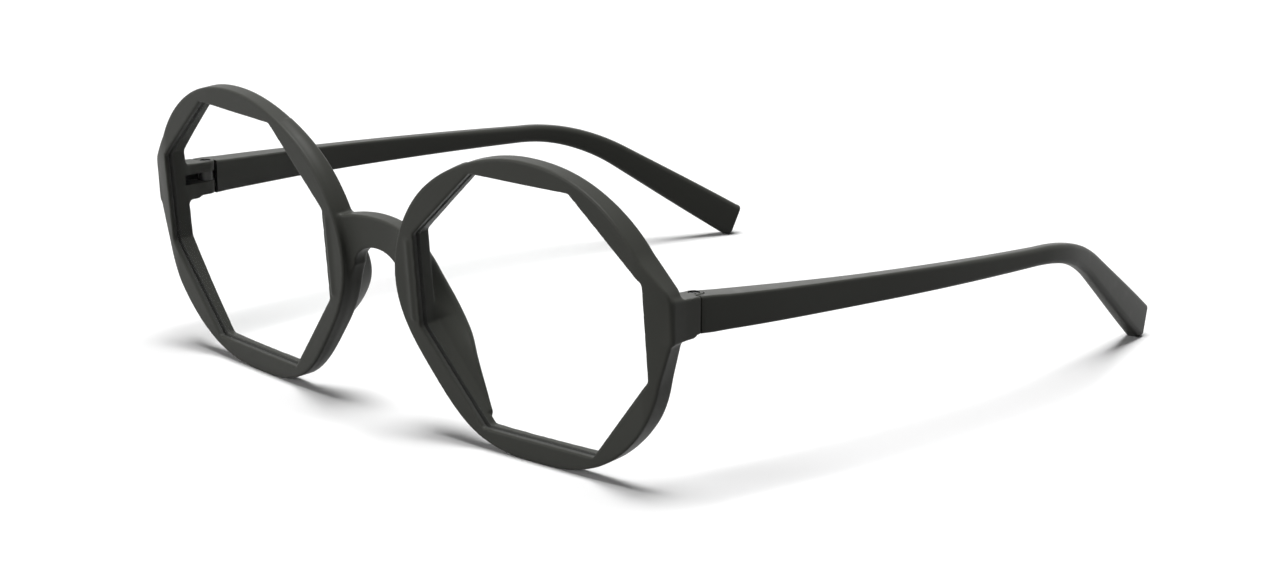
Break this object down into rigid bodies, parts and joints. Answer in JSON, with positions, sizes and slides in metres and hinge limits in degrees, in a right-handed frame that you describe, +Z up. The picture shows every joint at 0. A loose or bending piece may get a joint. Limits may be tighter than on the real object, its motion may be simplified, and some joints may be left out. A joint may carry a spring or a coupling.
{
  "type": "reading glasses",
  "caption": "Reading glasses with round rims around octagonal lenses, a moulded front with built-in nose pads, and folding temples on sprung flex hinges.",
  "frame": {"origin": "on the table, midway across the face and midway between the front-most point of the rims and the ends of the temple tips", "axes": "+Z up from the table, +Y from the rims back towards the ear tips, +X towards the wearer's left temple; the glasses stand open on both rims and both tips"},
  "size_m": [0.1422, 0.1431, 0.0525],
  "materials": {
    "frame_plastic": "satin charcoal with a faint olive cast",
    "lens": "clear, polished, anti-reflection coated",
    "hinge_steel": "turned stainless steel",
    "spring_steel": "drawn spring wire",
    "insert_brass": "turned brass"
  },
  "bodies": {
    "front_body": {"front": "frame_plastic", "lens_left": "lens", "lens_right": "lens", "hinge_screw_left": "hinge_steel", "hinge_screw_right": "hinge_steel", "thread_insert_left": "insert_brass", "thread_insert_right": "insert_brass"},
    "slider_left_body": {"flex_slider_left": "hinge_steel", "slider_stop_left": "hinge_steel", "flex_spring_left": "spring_steel"},
    "slider_right_body": {"flex_slider_right": "hinge_steel", "slider_stop_right": "hinge_steel", "flex_spring_right": "spring_steel"},
    "temple_left_body": {"temple_left": "frame_plastic", "flex_housing_left": "hinge_steel"},
    "temple_right_body": {"temple_right": "frame_plastic", "flex_housing_right": "hinge_steel"}
  },
  "joints": [
    {"name": "fold_left", "type": "hinge", "parent": "front_body", "child": "slider_left_body", "pos_m": [-0.0655, -0.0567, 0.03035], "axis": [0, 0, -1], "range_deg": [0, 85]},
    {"name": "fold_right", "type": "hinge", "parent": "front_body", "child": "slider_right_body", "pos_m": [0.0655, -0.0567, 0.03035], "axis": [0, 0, 1], "range_deg": [0, 78]},
    {"name": "flex_left", "type": "slide", "parent": "slider_left_body", "child": "temple_left_body", "axis": [-0.1564, 0.9877, 0], "range_m": [0, 0.0012], "stiffness_N_per_m": 3000, "springref_m": -0.001, "deforming": ["flex_spring_left"]},
    {"name": "flex_right", "type": "slide", "parent": "slider_right_body", "child": "temple_right_body", "axis": [0.1564, 0.9877, 0], "range_m": [0, 0.0012], "stiffness_N_per_m": 3000, "springref_m": -0.001, "deforming": ["flex_spring_right"]}
  ]
}
